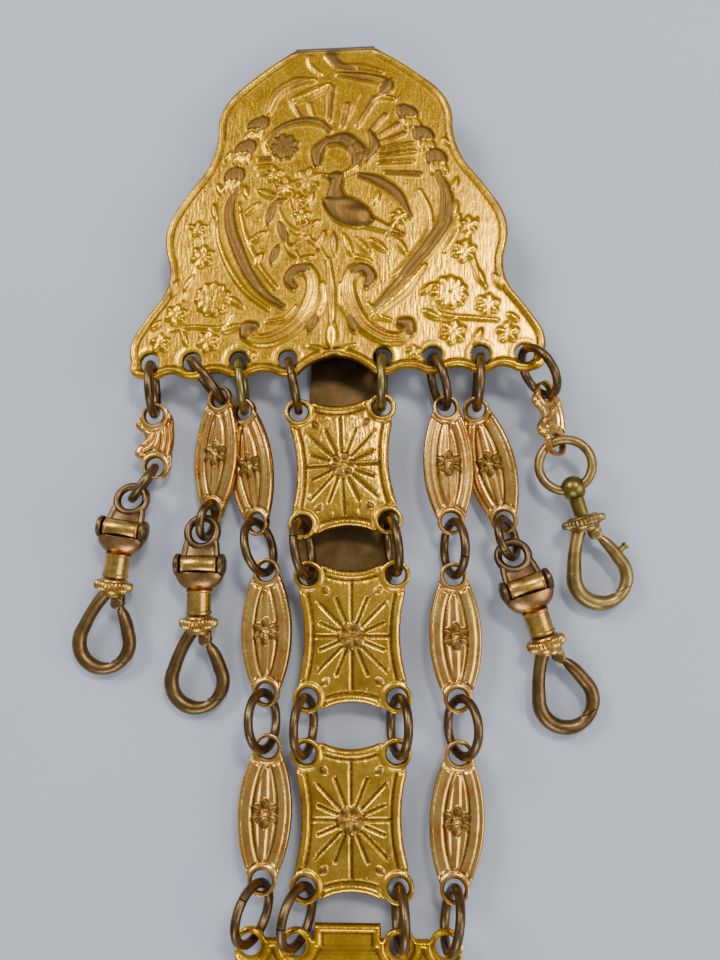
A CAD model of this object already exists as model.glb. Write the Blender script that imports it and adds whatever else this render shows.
"""Dresses the gilt brass chatelaine: stamped plates, links, rings and swivel clips."""
import math
from collections import namedtuple

import bpy
import bmesh
import numpy as np
from mathutils import Matrix, Vector


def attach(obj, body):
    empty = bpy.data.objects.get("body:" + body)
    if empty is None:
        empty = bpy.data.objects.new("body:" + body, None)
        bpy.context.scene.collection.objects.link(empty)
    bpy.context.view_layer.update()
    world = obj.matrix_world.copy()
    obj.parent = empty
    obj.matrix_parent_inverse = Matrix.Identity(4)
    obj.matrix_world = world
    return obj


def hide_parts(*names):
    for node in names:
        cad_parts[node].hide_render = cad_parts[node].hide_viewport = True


bl_info = {
    "name": "Chatelaine dresser",
    "version": (1, 0, 0),
    "blender": (4, 5, 0),
    "location": "View3D > Sidebar > Chatelaine",
    "description": "Builds the stamped plates, links, rings and swivel clips of a gilt brass chatelaine",
    "category": "Object",
}

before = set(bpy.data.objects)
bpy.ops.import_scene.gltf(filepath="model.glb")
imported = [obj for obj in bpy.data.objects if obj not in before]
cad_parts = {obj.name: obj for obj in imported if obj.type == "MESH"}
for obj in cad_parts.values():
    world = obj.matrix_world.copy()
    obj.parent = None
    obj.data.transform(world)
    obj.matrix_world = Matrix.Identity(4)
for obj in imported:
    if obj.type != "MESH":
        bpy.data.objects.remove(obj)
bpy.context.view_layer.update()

MM = 0.001
# The drawing's zero lies on the plate's axis; the model's origin is the middle of its box
ORIGIN = np.array([1.59, -46.0, 0.0])

# ---------------------------------------------------------------- sizes in millimetres
# These are shared with the solids
SHEET = 0.7
LINK_T = 0.55
PLATE_Z = 5.1
FOLD_Y = 32.6
FOLD_R = 2.9
# the plate's row of holes, its lower edge and the arch in the middle of that
HOLE_X = (6.4, 13.1, 19.5, 25.3)
HOLE_ROW_Y = -13.9
EDGE_Y = -16.1
ARCH_Y = -13.6
PLATE_HOLES = [(s * x, HOLE_ROW_Y) for x in HOLE_X for s in (-1, 1)]
# radius of a plate's holes and of a link's
HOLE_R, LINK_HOLE_R = 1.3, 1.25
# the plate's ornament is drawn a little higher than it stands
PLATE_RELIEF = 0.82

# x, y and swell towards the next turn
PLATE_SIDE = (
    (5.8, 34.0, 0), (7.0, 32.9, 0.2), (14.2, 27.2, 0.9), (16.8, 20.4, -0.5), (19.0, 13.7, 0.1),
    (22.4, 8.7, 0.9), (23.4, 1.2, -0.75), (24.2, -5.0, 0.1), (27.3, -9.6, 0.5), (27.9, -13.9, 0.7),
    (26.6, EDGE_Y, 0),
)
TONGUE_HALF = 5.8
TONGUE_SIDE = (
    (TONGUE_HALF, FOLD_Y, 0), (5.6, 29, -0.35), (4.6, -14, -0.3), (6.8, -37, 0.5), (5.6, -43.6, 0.9),
    (0, -46.8, 0),
)
# degrees that the tongue leans away from the plate's axis
TONGUE_LEAN = 1

# middle x and y, turn, heights of the upper and lower holes, and roll about the long axis
SQUARES = {
    "centre_link_1": (0.85, -28.35, 2.4, 3.50, 3.80, 0),
    "centre_link_2": (1.97, -50.65, -0.2, 3.80, 2.95, 0),
    "centre_link_3": (1.74, -72.80, 0.0, 2.95, 2.95, 0),
}
NAVETTES = {
    "left_link_1": (-11.55, -28.15, 7.4, 3.45, 3.10, -24),
    "left_link_2": (-9.15, -50.00, 0.4, 3.05, 2.85, -8),
    "left_link_3": (-9.00, -72.05, -1.5, 2.85, 3.15, 4),
    "right_link_1": (14.88, -28.40, 0.8, 3.60, 3.20, 5),
    "right_link_2": (15.15, -50.85, 0.3, 3.10, 2.80, 2),
    "right_link_3": (14.65, -72.90, -4.1, 2.80, 3.05, -2),
    "drop_navette_2": (-16.45, -26.20, -3.6, 3.35, 1.90, -20),
    "drop_navette_7": (20.50, -28.35, 12.0, 2.95, 2.30, -22),
}
LEAVES = {
    "drop_leaf_1": (-25.00, -24.25, 2.0, 3.10, 2.50, 0),
    "drop_leaf_8": (28.45, -22.36, 9.0, 3.60, 3.30, 42),
}
# distances between the links' holes
SQUARE_W, SQUARE_H, NAVETTE_H, LEAF_H = 11.3, 15.5, 15.4, 7.15
# Half the width and height of a square link, then the radius of an arc and how far off its middle lies, for
# the square link's hollow sides and ends and for the navette's bowed sides
SQUARE_HALF = (6.85, 8.95)
SQUARE_SIDE_ARC = (19.5, 25.63)
SQUARE_END_ARC = (8.3, 16.55)
NAVETTE_ARC = (17.4, 14.05)
# middle of the lower plate's row of holes, their x, and the eye under it
LOWER = (1.2, -86.9, 3.0)
LOWER_HOLE_X = (6.2, 11.75)
LOWER_EYE = (0, -18.4)
LOWER_SIDE = ((13.5, 0.2, 0.35), (12.6, -4.2, -0.5), (8.6, -9.2, 0.6), (5.6, -13.4, -0.7), (1.9, -17.3, 0))

# x and y of the hinge pin, heading, and slope of the eye above it
CLIPS = ((-28.50, -36.50, -9.2, 14), (-17.95, -41.35, -1.4, 6), (24.25, -44.60, 18.0, 16))
PIN_Z = 3.92
CLIP_SLOPE = 8
# middle of the ball, heading and slope; middle of the watch hook's eye and its slope
BALL, BALL_HEADING, BALL_SLOPE = (31.05, -31.95, 3.55), 15, 7
WATCH, WATCH_SLOPE = (1.2, -111.6, 3.6), 8
# A loop, below its clip's middle: its round end's middle, its top, the gate's pivot, and the radius of the
# limb at its top and in its round end, and of the gate
Loop = namedtuple("Loop", "drop top pivot thin thick gate")
CLIP_LOOP = Loop(15.05, 8.75, (0.95, -9.7), 0.86, 0.94, 0.88)
BALL_LOOP = Loop(11.9, 5.5, (1.0, -6.45), 0.86, 1.02, 0.84)
# radius of each loop's round end, its metal's radius at the gate's seam, and the seam's angle in degrees
LOOP_R, SEAM_R, SEAM_ANGLE = 3.4, 0.78, -40
KNURL_DEPTH = 0.2
# degrees left open at the seam of a jump ring
RING_SEAM = 1.5


# ---------------------------------------------------------------- settings
class ChatelaineSizes(bpy.types.PropertyGroup):
    """Sizes that a user may change"""
    plate_step: bpy.props.FloatProperty(
        name="Plate detail", description="Spacing of the stamped plate's points", default=0.17 * MM,
        min=0.15 * MM, max=1 * MM, precision=5, subtype="DISTANCE", unit="LENGTH")
    link_step: bpy.props.FloatProperty(
        name="Link detail", description="Spacing of the links' points", default=0.12 * MM,
        min=0.08 * MM, max=0.6 * MM, precision=5, subtype="DISTANCE", unit="LENGTH")
    border: bpy.props.FloatProperty(
        name="Border width", description="Width of the plate's rolled border", default=0.95 * MM,
        min=0.5 * MM, max=1.2 * MM, precision=5, subtype="DISTANCE", unit="LENGTH")
    relief: bpy.props.FloatProperty(
        name="Relief", description="Height of the stamped ornament against its usual height", default=1.0,
        min=0.2, max=1.6, subtype="FACTOR")
    knurls: bpy.props.IntProperty(
        name="Knurls", description="Ribs round a clip's collar", default=30, min=12, max=40,
        subtype="UNSIGNED")


def hex_colour(code):
    """Linear colour of an sRGB hex code."""
    parts = [int(code[i:i + 2], 16) / 255 for i in (1, 3, 5)]
    return tuple(c / 12.92 if c <= 0.04045 else ((c + 0.055) / 1.055) ** 2.4 for c in parts) + (1.0,)


def colour_property(name, description, code):
    return bpy.props.FloatVectorProperty(
        name=name, description=description, subtype="COLOR", size=4, min=0, max=1, default=hex_colour(code))


class ChatelaineColours(bpy.types.PropertyGroup):
    """Colours of the metals and of the floor"""
    gilt: colour_property("Gilt field", "Bright gilding of the stamped plates", "#F0B826")
    gilt_deep: colour_property("Deep gilt", "Gilding in the shaded parts of the plates", "#C48C20")
    square: colour_property("Square link gilt", "Bright gilding of the square links", "#EFBA3E")
    square_deep: colour_property("Deep square link gilt", "Thinner gilding of the square links", "#C08C2A")
    rose: colour_property("Navette gilt", "Warmer gilding of the navette and leaf links", "#EDBC66")
    rose_deep: colour_property("Deep navette gilt", "Thinner gilding of those links", "#C98A3C")
    wear: colour_property("Worn brass", "Brown brass where the gilding is rubbed off", "#72552A")
    grime: colour_property("Grime", "Dark dirt in the grooves", "#4E3A14")
    ring: colour_property("Ring brass", "Tarnished wire of the jump rings", "#7A6142")
    ring_dark: colour_property("Dark ring brass", "Darker patches on the rings", "#544026")
    ring_green: colour_property("Green ring brass", "Olive wire of two rings", "#8E8A45")
    clip: colour_property("Clip bronze", "Tarnished wire of the pear-shaped loops", "#80633D")
    clip_dark: colour_property("Dark clip bronze", "Darker patches on the loops", "#5F4A2A")
    turned: colour_property("Turned brass", "Bright barrels, necks and collars", "#CDA250")
    turned_deep: colour_property("Deep turned brass", "Dull patches on the turned parts", "#A07A3A")
    cup: colour_property("Cup brass", "Reddish brass of the cups", "#A9804E")
    cup_dark: colour_property("Dark cup brass", "Darker patches on the cups", "#7C5C3A")
    olive: colour_property("Olive brass", "Ball and nub of the fourth clip", "#8C7E3A")
    olive_dark: colour_property("Dark olive brass", "Darker patches on the ball and nub", "#6A5A2C")
    yellow: colour_property("Yellow brass", "Loop, disc and ring of the fourth clip", "#A88A50")
    yellow_dark: colour_property("Dark yellow brass", "Darker patches on them", "#7D6538")
    tongue: colour_property("Tongue", "Dark satin brass of the belt tongue", "#6E5634")
    tongue_dark: colour_property("Dark tongue", "Darker patches on the tongue", "#493820")
    patina: colour_property("Patina", "Nearly black tarnish in the corners of the wire", "#33250F")
    floor: colour_property("Floor", "Pale floor under the object", "#AEB4BF")
    floor_shade: colour_property("Floor shade", "Slightly darker patches of the floor", "#A8AEB9")


# ---------------------------------------------------------------- materials
# sockets of a Mix node: factor, two numbers, two colours, and the colour that comes out
FACTOR, NUMBER_A, NUMBER_B, COLOUR_A, COLOUR_B, COLOUR_OUT = 0, 2, 3, 6, 7, 2
# Patterns in turns per metre: clouds of thin gilding 3 mm across, grain of 0.25 mm, pits of 0.2 mm, and
# patches of the floor 50 mm across
CLOUDS, GRAIN, PITS, PATCHES = 350, 4000, 5000, 20
# Upright hatching 0.4 mm apart and four to five times as long; real brushing is finer and wouldn't show
HATCHING = (2600, 572, 2600)
# heights of the bumps in metres
HATCH_HEIGHT, GRAIN_HEIGHT, PIT_HEIGHT = 0.00009, 0.00003, 0.00004


def add(tree, kind, inputs=None, **settings):
    """Adds a node with its settings; each input takes a value, or another node's socket to link."""
    node = tree.nodes.new(kind)
    for key, value in settings.items():
        setattr(node, key, value)
    for key, value in (inputs or {}).items():
        if isinstance(value, bpy.types.NodeSocket):
            tree.links.new(value, node.inputs[key])
        else:
            node.inputs[key].default_value = value
    return node


def gilded_sheet(tree, coords, bright, deep, wear, grime, brushed, smoothest, roughest):
    """Gilding in two tones, brown where the high parts are rubbed and dark in the grooves."""
    cloud = add(tree, "ShaderNodeTexNoise", {
        "Vector": coords, "Scale": CLOUDS, "Detail": 5, "Roughness": 0.6}).outputs[0]
    fine = add(tree, "ShaderNodeTexNoise", {
        "Vector": coords, "Scale": GRAIN, "Detail": 3, "Roughness": 0.6}).outputs[0]
    thin = add(tree, "ShaderNodeMapRange", {"Value": cloud, "From Min": 0.35, "From Max": 0.68}).outputs[0]
    colour = add(tree, "ShaderNodeMix", {
        FACTOR: thin, COLOUR_A: bright, COLOUR_B: deep}, data_type="RGBA").outputs[COLOUR_OUT]
    # where the ornament stands high the gilding is rubbed off, unevenly
    worn = add(tree, "ShaderNodeAttribute", attribute_name="worn").outputs["Fac"]
    rubbed = add(tree, "ShaderNodeMath", {0: cloud, 1: 0.7, 2: worn}, operation="MULTIPLY_ADD").outputs[0]
    rubbed = add(tree, "ShaderNodeMapRange", {"Value": rubbed, "From Min": 0.72, "From Max": 1.04}).outputs[0]
    colour = add(tree, "ShaderNodeMix", {
        FACTOR: rubbed, COLOUR_A: colour, COLOUR_B: wear}, data_type="RGBA").outputs[COLOUR_OUT]
    # dirt gathers in the grooves, in specks
    groove = add(tree, "ShaderNodeAttribute", attribute_name="groove").outputs["Fac"]
    dirt = add(tree, "ShaderNodeMath", {0: fine, 1: 0.45}, operation="ADD").outputs[0]
    dirt = add(tree, "ShaderNodeMath", {0: dirt, 1: groove}, operation="MULTIPLY", use_clamp=True).outputs[0]
    colour = add(tree, "ShaderNodeMix", {
        FACTOR: dirt, COLOUR_A: colour, COLOUR_B: grime}, data_type="RGBA").outputs[COLOUR_OUT]
    gloss = add(tree, "ShaderNodeMapRange", {
        "Value": fine, "From Min": 0.3, "From Max": 0.75, "To Min": smoothest, "To Max": roughest}).outputs[0]
    gloss = add(tree, "ShaderNodeMix", {FACTOR: rubbed, NUMBER_A: gloss, NUMBER_B: 0.46}).outputs[0]
    gloss = add(tree, "ShaderNodeMix", {FACTOR: dirt, NUMBER_A: gloss, NUMBER_B: 0.6}).outputs[0]
    along = add(tree, "ShaderNodeMapping", {"Vector": coords, "Scale": HATCHING}).outputs[0]
    hatch = add(tree, "ShaderNodeTexNoise", {
        "Vector": along, "Scale": 1, "Detail": 2, "Roughness": 0.5}).outputs[0]
    lines = add(tree, "ShaderNodeBump", {
        "Strength": brushed, "Distance": HATCH_HEIGHT, "Height": hatch}).outputs[0]
    grain = add(tree, "ShaderNodeBump", {
        "Strength": 0.08, "Distance": GRAIN_HEIGHT, "Height": fine, "Normal": lines}).outputs[0]
    return {"Base Color": colour, "Metallic": 1.0, "Roughness": gloss, "Normal": grain}


def tarnished_brass(tree, coords, base, second, patina, per_mm, smoothest, roughest):
    """Brass in two tones of tarnish with small pits, nearly black in its corners."""
    cloud = add(tree, "ShaderNodeTexNoise", {
        "Vector": coords, "Scale": per_mm / MM, "Detail": 5, "Roughness": 0.6}).outputs[0]
    fine = add(tree, "ShaderNodeTexNoise", {
        "Vector": coords, "Scale": PITS, "Detail": 3, "Roughness": 0.6}).outputs[0]
    share = add(tree, "ShaderNodeMapRange", {"Value": cloud, "From Min": 0.38, "From Max": 0.66}).outputs[0]
    colour = add(tree, "ShaderNodeMix", {
        FACTOR: share, COLOUR_A: base, COLOUR_B: second}, data_type="RGBA").outputs[COLOUR_OUT]
    groove = add(tree, "ShaderNodeAttribute", attribute_name="groove").outputs["Fac"]
    dirt = add(tree, "ShaderNodeMath", {0: groove, 1: 0.85}, operation="MULTIPLY", use_clamp=True).outputs[0]
    colour = add(tree, "ShaderNodeMix", {
        FACTOR: dirt, COLOUR_A: colour, COLOUR_B: patina}, data_type="RGBA").outputs[COLOUR_OUT]
    gloss = add(tree, "ShaderNodeMapRange", {
        "Value": fine, "From Min": 0.3, "From Max": 0.75, "To Min": smoothest, "To Max": roughest}).outputs[0]
    pits = add(tree, "ShaderNodeBump", {"Strength": 0.25, "Distance": PIT_HEIGHT, "Height": fine}).outputs[0]
    return {"Base Color": colour, "Metallic": 1.0, "Roughness": gloss, "Normal": pits}


def pale_floor(tree, coords, colour, shade):
    """Matt paint with faint patches."""
    patches = add(tree, "ShaderNodeTexNoise", {
        "Vector": coords, "Scale": PATCHES, "Detail": 2, "Roughness": 0.5}).outputs[0]
    colour = add(tree, "ShaderNodeMix", {
        FACTOR: patches, COLOUR_A: colour, COLOUR_B: shade}, data_type="RGBA").outputs[COLOUR_OUT]
    return {"Base Color": colour, "Metallic": 0.0, "Roughness": 0.85}


# short name, surface, the material's name, its tones, and the surface's numbers
FINISHES = (
    # Die-stamped sheet, gilded and scratch-brushed: warm yellow, upright glints, brown where it is rubbed
    ("plate", gilded_sheet, "gilt die-stamped brass plate", "gilt gilt_deep wear grime", (0.6, 0.17, 0.36)),
    ("square", gilded_sheet, "gilt die-stamped brass link", "square square_deep wear grime",
     (0.7, 0.16, 0.34)),
    # Thinner links, gilded after stamping and left smooth: rosier, with long clear highlights
    ("link", gilded_sheet, "rose-gilt stamped brass", "rose rose_deep wear grime", (0.2, 0.14, 0.3)),
    # Back of the rolled sheet, never gilded and dulled by cloth: dark and satin
    ("tongue", tarnished_brass, "satin rolled brass", "tongue tongue_dark patina", (0.2, 0.42, 0.6)),
    # Drawn wire, bent and left bare: brown, with narrow highlights along it
    ("ring", tarnished_brass, "brown drawn brass wire", "ring ring_dark patina", (0.5, 0.26, 0.5)),
    ("green", tarnished_brass, "olive drawn brass wire", "ring_green ring patina", (0.4, 0.26, 0.5)),
    # Cast and filed loops, bronzed: darker brown, softly blotched
    ("clip", tarnished_brass, "bronzed cast brass", "clip clip_dark patina", (0.4, 0.26, 0.5)),
    ("yellow", tarnished_brass, "cast yellow brass", "yellow yellow_dark patina", (0.4, 0.26, 0.5)),
    # Turned on a lathe and handled often: brightest of the clips' metals
    ("bright", tarnished_brass, "bright turned brass", "turned turned_deep patina", (0.6, 0.2, 0.4)),
    ("rosy", tarnished_brass, "reddish turned brass", "cup cup_dark patina", (0.5, 0.22, 0.42)),
    ("olive", tarnished_brass, "olive turned brass", "olive olive_dark patina", (0.5, 0.26, 0.5)),
    # Matt painted board: pale, without a highlight
    ("floor", pale_floor, "matt painted board", "floor floor_shade", ()),
)
MATERIALS = {}


def materials(context):
    """All finishes by their short names, made once."""
    if not MATERIALS:
        colours = context.scene.chatelaine_colours
        for key, surface, name, tones, numbers in FINISHES:
            material = MATERIALS[key] = bpy.data.materials.new(name)
            material.use_nodes = True
            tree = material.node_tree
            tree.nodes.clear()
            coords = add(tree, "ShaderNodeTexCoord").outputs["Object"]
            tones = [tuple(getattr(colours, tone)) for tone in tones.split()]
            shader = add(tree, "ShaderNodeBsdfPrincipled", surface(tree, coords, *tones, *numbers))
            add(tree, "ShaderNodeOutputMaterial", {"Surface": shader.outputs[0]})
    return MATERIALS


# ---------------------------------------------------------------- mesh helpers
def placed(at, *turns):
    """Matrix of a place and of its turns, each in degrees about an axis."""
    matrix = Matrix.Translation(at)
    for degrees, axis in turns:
        matrix = matrix @ Matrix.Rotation(math.radians(degrees), 4, axis)
    return matrix


def moved(points, matrix):
    """Points after a matrix."""
    m = np.array(matrix)
    return np.asarray(points, float) @ m[:3, :3].T + m[:3, 3]


def to_object(name, points, faces, finishes, smooth, layers=None, slots=None):
    """Plain mesh object from points in millimetres; edges sharper than smooth, in degrees, stay sharp."""
    mesh = bpy.data.meshes.new(name)
    points = (np.asarray(points, float) - ORIGIN) * MM
    mesh.from_pydata(points.tolist(), [], [list(map(int, f)) for f in faces])
    for key, values in (layers or {}).items():
        layer = mesh.attributes.new(key, "FLOAT", "POINT")
        layer.data.foreach_set("value", np.asarray(values, np.float32))
    for material in finishes:
        mesh.materials.append(material)
    if slots is not None:
        mesh.polygons.foreach_set("material_index", np.asarray(slots, np.int32))
    mesh.validate()
    bm = bmesh.new()
    bm.from_mesh(mesh)
    bmesh.ops.delete(bm, geom=[v for v in bm.verts if not v.link_faces], context="VERTS")
    bmesh.ops.recalc_face_normals(bm, faces=bm.faces)
    bm.to_mesh(mesh)
    bm.free()
    mesh.shade_smooth()
    mesh.set_sharp_from_angle(angle=math.radians(smooth))
    obj = bpy.data.objects.new(name, mesh)
    bpy.context.scene.collection.objects.link(obj)
    return obj


def settle(obj, body, slot, *nodes):
    """Tells the frame which body a piece rides on, its slot, and the solids that it replaces."""
    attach(obj, body)
    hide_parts(*nodes)


def bow(p, q, swell, steps=8):
    """Points from p to q, the last left out, bowed to the left of the way."""
    p, q = np.array(p[:2], float), np.array(q[:2], float)
    if not swell:
        return [p]
    d = (q - p) / np.linalg.norm(q - p)
    side = np.array([-d[1], d[0]])
    return [p + (q - p) * t + side * swell * 4 * t * (1 - t) for t in np.arange(steps) / steps]


def edge_points(rows, steps=8):
    """Points along rows of x, y and swell towards the next row."""
    out = []
    for a, b in zip(rows[:-1], rows[1:]):
        out += bow(a, b, a[2], steps)
    return out + [np.array(rows[-1][:2], float)]


def polygon_distance(x, y, loop):
    """Signed distance to a closed loop, negative inside."""
    shape = x.shape
    px, py = x.ravel(), y.ravel()
    best = np.full(px.shape, 1e9)
    inside = np.zeros(px.shape, bool)
    loop = np.asarray(loop, float)
    for (ax, ay), (bx, by) in zip(loop, np.roll(loop, -1, axis=0)):
        ex, ey = bx - ax, by - ay
        length = ex * ex + ey * ey
        if length < 1e-12:
            continue
        t = np.clip(((px - ax) * ex + (py - ay) * ey) / length, 0, 1)
        best = np.minimum(best, (px - ax - t * ex) ** 2 + (py - ay - t * ey) ** 2)
        crosses = (ay > py) != (by > py)
        with np.errstate(divide="ignore", invalid="ignore"):
            at = ax + (py - ay) * ex / (ey if ey else 1e-12)
        inside ^= crosses & (px < at)
    d = np.sqrt(best)
    return np.where(inside, -d, d).reshape(shape)


def smooth_path(points, count=24):
    """Points along a smooth curve through the given ones."""
    p = np.asarray(points, float)
    if len(p) == 2:
        t = np.linspace(0, 1, count)[:, None]
        return p[0] + (p[1] - p[0]) * t
    ext = np.vstack([2 * p[0] - p[1], p, 2 * p[-1] - p[-2]])
    out = []
    spans = len(p) - 1
    for u in np.linspace(0, spans - 1e-9, count):
        i = int(u)
        t = u - i
        a, b, c, d = ext[i:i + 4]
        bend = (2 * a - 5 * b + 4 * c - d) * t * t
        out.append(0.5 * ((2 * b) + (c - a) * t + bend + (3 * b - a - 3 * c + d) * t ** 3))
    return np.array(out)


class Relief:
    """Height, wear and groove maps over a grid, drawn on with strokes, leaves and florets."""

    def __init__(self, x, y):
        self.x, self.y = x, y
        self.h = np.zeros(x.shape)
        self.worn = np.zeros(x.shape)
        self.cut = np.zeros(x.shape)

    def window(self, points, reach):
        """Part of the grid that a shape can touch, or nothing where it lies outside."""
        p = np.asarray(points)
        rows = np.where((self.y[:, 0] > p[:, 1].min() - reach) & (self.y[:, 0] < p[:, 1].max() + reach))[0]
        cols = np.where((self.x[0] > p[:, 0].min() - reach) & (self.x[0] < p[:, 0].max() + reach))[0]
        if not len(rows) or not len(cols):
            return None
        return slice(rows[0], rows[-1] + 1), slice(cols[0], cols[-1] + 1)

    def away(self, win, path, half):
        """Distance from a line, in shares of its half width at that place."""
        x, y = self.x[win], self.y[win]
        best = np.full(x.shape, 9.0)
        for (a, b), (ra, rb) in zip(zip(path[:-1], path[1:]), zip(half[:-1], half[1:])):
            e = b - a
            t = np.clip(((x - a[0]) * e[0] + (y - a[1]) * e[1]) / max(e @ e, 1e-9), 0, 1)
            d = np.hypot(x - a[0] - t * e[0], y - a[1] - t * e[1])
            best = np.minimum(best, d / (ra + (rb - ra) * t))
        return best

    def lay(self, win, t, height, worn, power):
        """Raises a form whose edge is at t = 1; a low power makes it flat on top."""
        form = np.clip(1 - t * t, 0, 1) ** power
        self.h[win] = np.maximum(self.h[win], form * height)
        self.worn[win] = np.maximum(self.worn[win], np.where(t < 0.9, worn * np.clip(form * 1.6, 0, 1), 0))

    def stroke(self, points, widths, height, worn=0.0, power=0.5, flute=0.0):
        """Raised line of changing width, with a flute down its middle if asked for."""
        path = smooth_path(points, max(10, 7 * len(points)))
        s = np.linspace(0, 1, len(path))
        half = np.interp(s, np.linspace(0, 1, len(widths)), widths) / 2
        win = self.window(path, max(widths))
        if win is None:
            return
        best = self.away(win, path, half)
        self.lay(win, best, height, worn, power)
        if flute:
            groove = np.exp(-((best / 0.22) ** 2)) * (best < 1)
            self.h[win] -= groove * flute * height
            self.worn[win] *= 1 - 0.3 * groove

    def groove(self, points, width, depth, dark):
        """Engraved line."""
        path = smooth_path(points, 6)
        win = self.window(path, width * 1.5)
        if win is None:
            return
        best = self.away(win, path, np.full(len(path), width / 2))
        form = np.clip(1 - best * best, 0, 1)
        self.h[win] -= form * depth
        self.cut[win] = np.maximum(self.cut[win], form * dark)

    def ray(self, cx, cy, turn, near, far, width, depth, dark):
        """Engraved line that points away from a middle."""
        c, s = math.cos(math.radians(turn)), math.sin(math.radians(turn))
        self.groove([(cx + near * c, cy + near * s), (cx + far * c, cy + far * s)], width, depth, dark)

    def leaf(self, cx, cy, length, width, turn, height, worn=0.0, veins=0, power=0.6, point=1.0):
        """Raised leaf, or a bud where it is as wide as long; a smaller point makes its ends blunter."""
        win = self.window([(cx, cy)], max(length, width))
        if win is None:
            return
        a = math.radians(turn)
        u = (self.x[win] - cx) * math.cos(a) + (self.y[win] - cy) * math.sin(a)
        v = -(self.x[win] - cx) * math.sin(a) + (self.y[win] - cy) * math.cos(a)
        k = np.clip(u / (length / 2), -1, 1)
        half = width / 2 * np.clip(1 - np.abs(k) ** (2 / point), 1e-4, 1)
        t = np.where(np.abs(u) < length / 2, np.abs(v) / half, 9)
        self.lay(win, t, height, worn, power)
        if veins:
            self.h[win] -= (t < 1) * 0.09 * height * (1 + np.sin((np.abs(v) * 1.2 - u) * veins))

    def petals(self, cx, cy, r, count, first, length, width, height, worn, point):
        """Ring of leaves about a middle, from the first one's angle on."""
        for k in range(count):
            turn = first + 360 * k / count
            a = math.radians(turn)
            self.leaf(cx + r * math.cos(a), cy + r * math.sin(a), length, width, turn, height, worn, 0, 0.6,
                      point)

    def floret(self, cx, cy, r, height, petals, worn):
        """Flower of petals round a raised eye with a pit in it."""
        self.petals(cx, cy, r * 0.58, petals, 18, r * 0.92, r * 0.74, height, worn, 0.8)
        self.leaf(cx, cy, r * 0.6, r * 0.6, 0, height * 1.15, worn, 0, 0.6, 0.9)
        self.groove([(cx - r * 0.02, cy), (cx + r * 0.02, cy)], r * 0.24, height * 0.5, 0.6)


def blur(a, n):
    for _ in range(n):
        a = (a + np.roll(a, 1, 0) + np.roll(a, -1, 0) + np.roll(a, 1, 1) + np.roll(a, -1, 1)) / 5
    return a


def stamped(name, distance, draw, box, step, thickness, z0, material, matrix=None, relief=1.0):
    """Sheet with a raised pattern: a clipped grid on top, walls, and a flat back at z0."""
    x, y = np.meshgrid(np.arange(box[0], box[1] + step, step), np.arange(box[2], box[3] + step, step))
    d = distance(x, y)
    gy, gx = np.gradient(d, step)
    slope = np.maximum(np.hypot(gx, gy), 0.2)
    keep = d < 0.5 * step
    art = Relief(x, y)
    draw(art)
    height = blur(art.h, 1) * relief
    # hollows are darker than what stands round them
    hollow = np.clip((blur(height, 8) - height) / 0.085, 0, 1)
    index = -np.ones(x.shape, int)
    index[keep] = np.arange(keep.sum())
    top = np.stack([x[keep], y[keep], z0 + thickness + height[keep]], 1)
    corners = index[:-1, :-1], index[:-1, 1:], index[1:, 1:], index[1:, :-1]
    cells = np.stack(corners, -1).reshape(-1, 4)
    kept = (cells >= 0).sum(1)
    faces = [tuple(r) for r in cells[kept == 4]]
    faces += [tuple(v for v in r if v >= 0) for r in cells[kept == 3]]
    # an edge that no neighbour shares lies on the rim
    sides = {(p, q) for f in faces for p, q in zip(f, f[1:] + f[:1])}
    rim = [(p, q) for f in faces for p, q in zip(f, f[1:] + f[:1]) if (q, p) not in sides]
    edge = np.zeros(len(top), bool)
    edge[[v for pair in rim for v in pair]] = True
    snap = edge | (d[keep] > -0.1 * step)
    # the rim takes the height found outside it, so that its edge runs even, and moves onto the outline
    around = [np.roll(height, (i, k), (0, 1)) for i in (-1, 0, 1) for k in (-1, 0, 1)]
    top[:, 2] = np.where(snap, z0 + thickness + np.min(around, axis=0)[keep], top[:, 2])
    shift = np.where(snap, np.clip(d[keep], -1.2 * step, 1.2 * step), 0) / slope[keep] ** 2
    top[:, 0] -= shift * gx[keep]
    top[:, 1] -= shift * gy[keep]
    low = {}
    points = [tuple(p) for p in top]
    for pair in rim:
        for v in pair:
            if v not in low:
                low[v] = len(points)
                points.append((top[v][0], top[v][1], z0))
    walls = [(q, p, low[p], low[q]) for p, q in rim]
    # the back is filled between the walls' lower edges
    bm = bmesh.new()
    where = {v: bm.verts.new((points[low[v]][0], points[low[v]][1], 0)) for v in low}
    edges = []
    for p, q in rim:
        if where[p] is not where[q] and not bm.edges.get((where[p], where[q])):
            edges.append(bm.edges.new((where[p], where[q])))
    bm.verts.index_update()
    bmesh.ops.triangle_fill(bm, use_beauty=True, use_dissolve=False, edges=edges)
    order = {vert.index: low[v] for v, vert in where.items()}
    back = [tuple(order[vert.index] for vert in f.verts) for f in bm.faces]
    bm.free()
    extra = len(points) - len(top)
    worn = np.concatenate([art.worn[keep], np.zeros(extra)])
    cut = np.concatenate([np.clip(art.cut + hollow * 0.7, 0, 1)[keep], np.full(extra, 0.25)])
    if matrix is not None:
        points = moved(points, matrix)
    return to_object(name, points, faces + walls + back, [material], 50, {"worn": worn, "groove": cut})


def ridge(d, at, width, height):
    """Rounded bead that follows an outline at a depth inside it."""
    t = (-d - at) / (width / 2)
    return height * np.sqrt(np.clip(1 - t * t, 0, 1))


def line_at(d, at, width):
    """Soft line that follows an outline at a depth inside it."""
    return np.exp(-(((-d - at) / width) ** 2))


def nearest(x, y, holes):
    """Distance from the middle of the nearest hole."""
    return np.min([np.hypot(x - hx, y - hy) for hx, hy in holes], axis=0)


def pierced(d, x, y, holes, r):
    """Outline with round holes cut into it."""
    return np.maximum(d, r - nearest(x, y, holes))


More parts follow.
